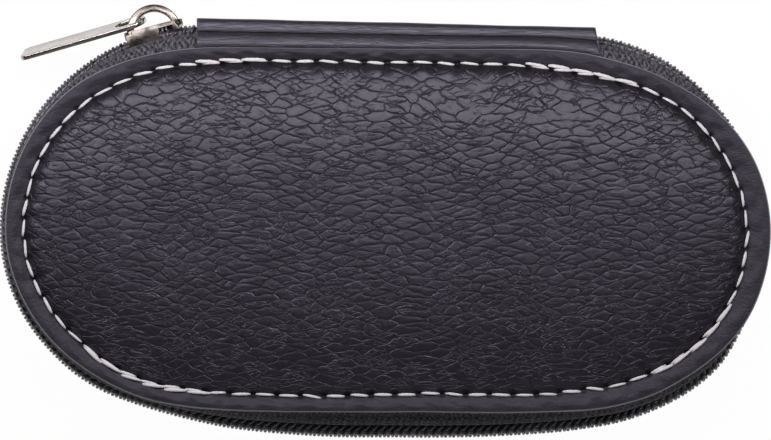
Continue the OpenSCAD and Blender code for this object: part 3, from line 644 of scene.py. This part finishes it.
def zip_coil(name, lid):
    """Half of the nylon chain: one wire wound as a flattened helix along the zip outline, a
    loop for each pitch, round a squared oval: z = middle + half height * c and outward =
    middle + half depth * s, with c and s the powered cosine and sine. The wire runs along as
    share + (0.75 cos - 1.3 sin)(angle) / 2 pi, so its heads stand upright and its tops slant. The
    other half is its mirror image half a pitch along, so that the heads pass between each
    other. A filler cord lies inside the loops. A sewn row holds them to the tape: for three
    quarters of a pitch its thread runs inward over the coil, thick, then dips back, thin."""
    start, stop = t_at_x(ZIP, -1.1, COIL_ENDS[0], 2, 4), 8 + t_at_x(ZIP, -1.1, COIL_ENDS[1], 0, 2)
    steps, hold, skew = 16, 0.75, 1.3
    even_t, length = even_steps(ZIP, -CHAIN_T / 2, start, stop, 4001)
    turns = int(length / COIL_PITCH) - 1
    share = np.arange(turns * steps + 1) / steps
    angle = 2 * math.pi * share + (math.pi if lid else 0)
    shift = (hold * np.cos(angle) - skew * np.sin(angle)) / (2 * math.pi)
    run = length * np.clip((share + shift) / turns, 0, 1)
    t = np.interp(run, np.linspace(0, length, len(even_t)), even_t)
    low, high = MID_Z - CHAIN_W / 2 + WIRE_R, MID_Z + 0.36
    middle_z = (low + high) / 2
    c, s = np.cos(angle), np.sin(angle)
    z = middle_z + (high - low) / 2 * np.sign(c) * np.abs(c) ** 0.75
    lean = 0.13 * np.abs(z - MID_Z)
    out = -CHAIN_T / 2 + (CHAIN_T / 2 - WIRE_R) * np.sign(s) * np.abs(s) ** 0.75 - lean * (s > 0)
    middle = on_outline(ZIP, t, zip_stray(t) - CHAIN_T / 2)
    middle = np.column_stack([middle, np.full_like(z, middle_z)])
    path = np.column_stack([on_outline(ZIP, t, zip_stray(t) + out), z])
    points, faces = tubes(path[None], WIRE_R, (path - middle)[None], around=6)
    cord_t, _ = even_steps(ZIP, -CHAIN_T / 2, start, stop, 260)
    cord = on_outline(ZIP, cord_t, zip_stray(cord_t) - CORD_IN)
    cord = np.column_stack([cord, np.full_like(cord_t, middle_z)])
    parts = [tubes(cord[None], CORD_R, (0, 0, 1.0), around=8, squash=0.8)]
    phase = np.arange(turns * 8) / 8
    sewn = np.interp(length * phase / turns, np.linspace(0, length, len(even_t)), even_t)
    thick = np.clip(np.minimum(phase % 1 / 0.125, (0.75 - phase % 1) / 0.125), 0, 1)
    inward = np.interp(phase % 1, [0, 0.75, 1], [1.25, 2.05, 1.25])
    row = on_outline(ZIP, sewn, zip_stray(sewn) - inward)
    row = np.column_stack([row, low - 0.28 + 0.25 * (1 - thick)])
    thin = 0.1
    sewing_r = thin + (SEWN_THREAD_R - thin) * thick
    parts.append(tubes(row[None], sewing_r, (0, 0, 1.0), around=6))
    for more, extra in parts:
        faces += [[i + len(points) for i in f] for f in extra]
        points = np.vstack([points, more])
    if lid:
        points[:, 2] = CASE_H - points[:, 2]
    return turned_out(mesh_piece(name, points, faces, COIL_NYLON))


def zip_tape(name, crown, lid):
    """Woven tape: a half-millimetre strip that comes out from under the cover's rim, slopes out
    and stands up behind the coil. Its sections follow the cover's outline at the root and the
    zip's at the top. The lid's strip ends above the slider's path near the slider."""
    root = crown + RIM_TOP + TAPE_T / 2
    stand = -CHAIN_T + 0.12 - TAPE_T / 2
    line = curve_through([
        (0, -3.4, root), (0, -2, root), (0, -0.6, root), (0.06, -0.25, root + 0.25), (0.4, -0.5, root + 0.7),
        (0.8, -1.3, root + 1.4), (1, stand - 0.2, root + 2.2), (1, stand, root + 3.3),
        (1, stand, MID_Z - 2.4), (1, stand, MID_Z - 0.75)], 40)
    section = thickened(line[:, 1:], np.full(40, TAPE_T / 2 - 0.01))
    share = np.concatenate([line[:, 0], line[::-1, 0]])[None]
    (left, right), (root_left, root_right) = TAPE_TOP_ENDS, TAPE_ROOT_ENDS
    start, stop = t_at_x(ZIP, -2, left, 2, 4), 8 + t_at_x(ZIP, -2, right, 0, 2)
    t, length = even_steps(ZIP, -2, start, stop, 420)
    start, stop = t_at_x(PANEL, 0, root_left, 2, 4), 8 + t_at_x(PANEL, 0, root_right, 0, 2)
    root_t, _ = even_steps(PANEL, 0, start, stop, 420)
    d, height = section[:, 0][None] + 0 * t[:, None], section[:, 1][None] + 0 * t[:, None]
    tt, root_t = t[:, None] + 0 * d, root_t[:, None] + 0 * d
    xy = (1 - share)[..., None] * on_outline(PANEL, root_t, d + np.minimum(edge_stray(root_t), 0))
    xy += share[..., None] * on_outline(ZIP, tt, d + zip_stray(tt))
    if lid:
        x, y = on_outline(ZIP, t, np.zeros_like(t)).T
        near = (x > NOTCH_LEFT) & (x < SPINE_LEFT - 1.3) & (y > 0)
        limit = np.where(near, MID_Z - NOTCH_DEEP, CASE_H)[:, None]
        height = np.minimum(height, limit + 0.03 * (height - limit))
    flat, faces = loft(np.dstack([xy, CASE_H - height if lid else height]))
    piece = mesh_piece(name, flat, faces, ZIP_TAPE)
    across = np.concatenate([np.arange(40), np.arange(40)[::-1]]) * 0.24
    run = np.linspace(0, length, len(t))[:, None]
    give_uv(piece, np.dstack([run + 0 * across, 0 * run + across]))
    return turned_out(piece)


for side, place, crown, lid in (("base", "lower", 0.0, False), ("lid", "upper", LID_CROWN, True)):
    settle(zip_coil(place + "_coil_wire", lid), side, "zip_coil", place + "_zip_coil")
    settle(zip_tape(place + "_tape_cloth", crown, lid), side, "zip_tape", place + "_zip_tape")


# Spine

def spine_skin(name, crown, lid):
    """Half of the leather spine: a section from under the cover's rim, over a soft swell, down
    into one long crease and round the fold to the middle of the back, carried along the spine.
    Its root follows the rim's edge, its back leans, and it is waved."""
    root = crown + RIM_TOP
    half = PANEL_WID / 2
    line = curve_through([
        (half - 2.4, root + 0.3), (half - 0.8, root + 0.3), (half + 0.1, root + 0.12),
        (half + 0.4, root - 0.12), (half + 0.85, root - 0.05), (half + 1.3, root + 0.1),
        (half + 1.6, root + 0.4), (half + 1.85, root + 0.5), (half + 2.1, root + 0.42),
        (half + 2.6, root + 0.44), (FOLD_Y - 0.12, root + 0.54), (FOLD_Y + 0.02, root + 0.9),
        (FOLD_Y + 0.02, root + 2.2), (FOLD_Y + 0.02, FOLD_LOW), (FOLD_Y, FOLD_LOW + 1.6),
        (FOLD_Y, MID_Z + 0.02)], 64)
    section = thickened(line, np.interp(np.arange(64), [0, 8, 12, 63], [0.25, 0.25, 0.42, 0.42]))
    centre = np.vstack([line, line[::-1]])
    between = np.linspace(SPINE_LEFT + 0.4, SPINE_RIGHT - 0.4, 160)
    x = np.concatenate([[SPINE_LEFT, SPINE_LEFT + 0.12], between, [SPINE_RIGHT - 0.12, SPINE_RIGHT]])
    x = x[:, None]
    from_middle = np.abs(x - (SPINE_LEFT + SPINE_RIGHT) / 2)
    ease = np.where(from_middle > (SPINE_RIGHT - SPINE_LEFT) / 2 - 0.05, 0.72, 1.0)
    y = centre[:, 0] + (section[:, 0] - centre[:, 0]) * ease
    z = centre[:, 1] + (section[:, 1] - centre[:, 1]) * ease
    out = np.clip((section[:, 0] - half) / (FOLD_Y - half), 0, 1)
    t = np.linspace(1, 3, 800)
    rim_x, rim_y = on_outline(PANEL, t, edge_stray(t)).T
    rim_in = half - np.interp(x, rim_x[::-1], rim_y[::-1])
    wave = 0.09 * np.sin(x / 4.1 + 0.6) + 0.06 * np.sin(x / 1.7) + 0.05 * np.sin(x / 9.0 + 2)
    z = z + wave * out * np.clip((MID_Z - section[:, 1]) / 2, 0, 1)
    y = y - (1 - out) * rim_in + out * (-BACK_IN - BACK_LEAN * x + 0.4 * wave)
    x = x - (0.25 + 0.6 * out) * np.clip((x - 20) / 12, 0, 1)
    points = np.dstack([x + 0 * y, y, CASE_H - z if lid else z])
    piece = mesh_piece(name, *loft(points), SPINE_LEATHER)
    # Painted highlight along the spine's two cut ends
    give_value(piece, "painted_edge_highlight", 0.5 * (ease < 1) * np.ones_like(y))
    return turned_out(piece)


def spine_band():
    """Suede strip inside the spine's back: a flat section with soft edges, carried along it."""
    height = np.linspace(FOLD_LOW + 0.5, FOLD_LOW + FOLD_GAP - 0.5, 12)
    line = np.column_stack([np.full(12, FOLD_Y - 0.78), height])
    section = thickened(line, 0.24 * np.sqrt(1 - 0.8 * np.abs(np.linspace(-1, 1, 12)) ** 6))
    x = np.linspace(SPINE_LEFT + 0.5, SPINE_RIGHT - 0.5, 60)[:, None]
    y = section[:, 0] + 0.04 * np.sin(x / 3.3) + 0 * x
    points = np.dstack([x + 0 * y, y, section[:, 1] + 0 * x])
    return turned_out(mesh_piece("spine_suede", *loft(points), LINING))


for name, crown, lid, pair, z, leaf in (
        ("spine_leather_lower", 0.0, False, ("base", "spine"), FOLD_LOW, "spine_lower_leaf"),
        ("spine_leather_upper", LID_CROWN, True, ("spine", "lid"), FOLD_LOW + FOLD_GAP, "spine_upper_leaf")):
    piece = spine_skin(name, crown, lid)
    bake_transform(piece)
    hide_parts(leaf, "spine_back")
settle(spine_band(), "spine", "lining", "spine_lining")


# Band that holds the tools

def elastic_band():
    """One elastic ribbon: flat on the lining at its ends and between the loops, and over each
    tool as a superellipse arch of its loop's half width and height, smoothed at the feet."""
    angle = np.radians(np.linspace(180, 0, 40))
    floor = FLOOR_Z + BAND_T / 2
    parts = []
    for middle, half, height, square in LOOPS:
        y = middle + (half + BAND_T / 2) * np.sign(np.cos(angle)) * np.abs(np.cos(angle)) ** (2 / square)
        z = FLOOR_Z + (height + BAND_T / 2) * np.clip(np.sin(angle), 0, 1) ** (2 / square)
        parts.append(np.column_stack([y, np.maximum(z, floor)]))
    left, right = parts[0][0, 0] - 2.0, parts[-1][-1, 0] + 2.0
    path = np.vstack([[(left, floor)]] + parts + [[(right, floor)]])
    run = run_of(path)
    at = np.linspace(0, run[-1], 420)
    line = np.column_stack([np.interp(at, run, path[:, 0]), np.interp(at, run, path[:, 1])])
    for _ in range(3):
        line[1:-1] = (line[:-2] + line[1:-1] + line[2:]) / 3
    section = thickened(line, BAND_T / 2 - 0.03)
    x = np.linspace(-BAND_W / 2, BAND_W / 2, 17)[:, None]
    edge = 1 - 0.25 * (np.abs(x) > BAND_W / 2 - 0.1)
    centre = np.vstack([line, line[::-1]])
    y = centre[:, 0] + (section[:, 0] - centre[:, 0]) * edge
    z = centre[:, 1] + (section[:, 1] - centre[:, 1]) * edge
    piece = mesh_piece("elastic_ribbon", *loft(np.dstack([x + 0 * y, y, z])), ELASTIC)
    along = np.concatenate([at, at[::-1]])
    give_uv(piece, np.dstack([along + 0 * x, x + 0 * along]))
    return turned_out(piece)


def band_tacks():
    """Rows of short white stitches across the band, at its ends and between its loops."""
    feet = [(m - h - BAND_T, m + h + BAND_T) for m, h, _, _ in LOOPS]
    between = [(a[1] + b[0]) / 2 for a, b in zip(feet, feet[1:])]
    places = [feet[0][0] - 1.1] + between + [feet[-1][1] + 1.1]
    u = np.linspace(-1, 1, 9)
    y, x, v = np.meshgrid(places, (np.arange(9) - 4) * TACK_PITCH, u, indexing="ij")
    z = FLOOR_Z + BAND_T + 0.2 - 0.28 * v ** 4
    paths = np.stack([x + TACK_HALF * v, y + 0.06 * v, z], -1).reshape(-1, 9, 3)
    radius = 0.2 * (1 - 0.5 * np.abs(u) ** 3)
    points, faces = tubes(paths, radius[None], (0, 0, 1.0), around=8, plies=3, turns=1)
    return turned_out(mesh_piece("band_topstitch", points, faces, WHITE_THREAD))


settle(elastic_band(), "base", "elastic", "tool_band")
settle(band_tacks(), "base", "white_thread", "band_stitching")


# Hard pieces with eased edges

def eased(node, material, body, slot, width, segments=3):
    """A merged copy of a hard CAD piece whose sharp edges are rounded by a width."""
    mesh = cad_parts[node].data.copy()
    work = bmesh.new()
    work.from_mesh(mesh)
    bmesh.ops.remove_doubles(work, verts=work.verts, dist=2e-6)
    bmesh.ops.dissolve_limit(work, angle_limit=math.radians(1.0), verts=work.verts, edges=work.edges)
    sharp = [e for e in work.edges if len(e.link_faces) == 2 and e.calc_face_angle(0) > math.radians(30)]
    bmesh.ops.bevel(work, geom=sharp, offset=width * MM, offset_type="OFFSET", segments=segments,
                    profile=0.5, affect="EDGES", clamp_overlap=True)
    bmesh.ops.recalc_face_normals(work, faces=work.faces)
    work.to_mesh(mesh)
    work.free()
    mesh.materials.clear()
    mesh.materials.append(material)
    mesh.shade_smooth()
    mesh.set_sharp_from_angle(angle=math.radians(38))
    piece = bpy.data.objects.new(node + "_finished", mesh)
    bpy.context.collection.objects.link(piece)
    settle(piece, body, slot, node)


eased("slider_body", CAST_NICKEL, "zip_slider", "zip_nickel", 0.14)
eased("slider_bail", CAST_NICKEL, "zip_slider", "zip_nickel", 0.16)
eased("pull_tab", NICKEL, "zip_pull", "zip_nickel", 0.12)
eased("file_blade", CUT_STEEL, "nail_file", "tool_steel", 0.08, 1)
eased("file_handle", HANDLE, "nail_file", "file_handle", 0.5)
eased("cuticle_pusher", STEEL, "pusher", "tool_steel", 0.15)
eased("tweezers", STEEL, "tweezer_pair", "tool_steel", 0.12)
eased("clipper_lower_leaf", STEEL, "nail_clipper", "tool_steel", 0.14)
eased("clipper_upper_leaf", STEEL, "nail_clipper", "tool_steel", 0.14)
eased("clipper_rivet", STEEL, "nail_clipper", "tool_steel", 0.1)
eased("clipper_pin", STEEL, "nail_clipper", "tool_steel", 0.1)
eased("clipper_lever", STEEL, "clipper_handle", "tool_steel", 0.2)

# The layers inside the covers never show, and keep their CAD meshes
for node, material in (
        ("base_padding", FOAM), ("lid_padding", FOAM), ("base_board", BOARD), ("lid_board", BOARD)):
    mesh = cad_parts[node].data
    mesh.materials.clear()
    mesh.materials.append(material)


# Stage

# Share of the floor's look that is plain white light
FLOOR_GLOW = 0.98
# The picture's width in pixels, a pixel at the zip's height and the sensor, in millimetres
PICTURE_PX, PX_MM, SENSOR_MM = 771, 0.1556, 36
# The camera's distance, its lean towards +X and +Y, and the point it looks at
AWAY = 620
TILT_X, TILT_Y = math.radians(-2.4), math.radians(-4.0)
LOOK_AT = np.array([0.1, 1.89, MID_Z])


def white_floor():
    """White floor that keeps the case's shadow: white paint, and for the camera, mirrors and
    glass a share of plain white light."""
    material, tree, shader, _ = finish("white_paint", Roughness=0.9)
    shader.inputs["Base Color"].default_value = (0.92, 0.92, 0.92, 1)
    path = add(tree, "LightPath").node
    seen = add(tree, "Math", {0: path.outputs["Is Camera Ray"], 1: path.outputs["Is Glossy Ray"]},
               operation="MAXIMUM")
    seen = add(tree, "Math", {0: seen, 1: path.outputs["Is Transmission Ray"]}, operation="MAXIMUM")
    part = add(tree, "Math", {0: seen, 1: FLOOR_GLOW}, operation="MULTIPLY")
    glow = add(tree, "Emission", {"Color": (1, 1, 1, 1), "Strength": 1.0})
    blend = add(tree, "MixShader", {0: part, 1: shader.outputs[0], 2: glow})
    tree.links.new(blend, tree.nodes["Material Output"].inputs["Surface"])
    corners = np.array([(-1, -1, 0), (1, -1, 0), (1, 1, 0), (-1, 1, 0)]) * 3000 - (0, 0, 0.05)
    mesh_piece("floor", corners, [(0, 1, 2, 3)], material, smooth=False)


def aim(obj, at, look):
    """Places an object in millimetres and turns its -Z towards a point, with +Y upward."""
    back = (Vector(at) - Vector(look)).normalized()
    right = Vector((0, 1, 0)).cross(back).normalized()
    turn = Matrix((right, back.cross(right), back)).transposed().to_4x4()
    obj.matrix_world = Matrix.Translation(Vector(at) * MM) @ turn


white_floor()
for name, size, energy, place in (
        ("window", (290, 26), 0.27, (-10, 54, 118)),
        ("fill", (300, 120), 0.05, (30, -170, 120))):
    lamp = bpy.data.lights.new(name, "AREA")
    lamp.shape = "RECTANGLE"
    lamp.size, lamp.size_y = size[0] * MM, size[1] * MM
    lamp.energy = energy
    lamp.color = (1.0, 0.955, 1.03)
    lamp_object = bpy.data.objects.new(name, lamp)
    bpy.context.collection.objects.link(lamp_object)
    aim(lamp_object, place, (0, 0, 10))

world = bpy.data.worlds.new("studio")
world.use_nodes = True
world.node_tree.nodes["Background"].inputs[0].default_value = (0.82, 0.8, 0.84, 1)
world.node_tree.nodes["Background"].inputs[1].default_value = 0.1
bpy.context.scene.world = world

camera_data = bpy.data.cameras.new("camera")
camera = bpy.data.objects.new("camera", camera_data)
bpy.context.collection.objects.link(camera)
toward = np.array([math.sin(TILT_X), math.sin(TILT_Y), math.cos(TILT_X) * math.cos(TILT_Y)])
aim(camera, tuple(LOOK_AT + AWAY * toward), tuple(LOOK_AT))
camera_data.sensor_width = SENSOR_MM
camera_data.lens = SENSOR_MM * AWAY / (PICTURE_PX * PX_MM)
camera_data.clip_start = 0.01
bpy.context.scene.camera = camera
bpy.context.scene.view_settings.view_transform = "Standard"
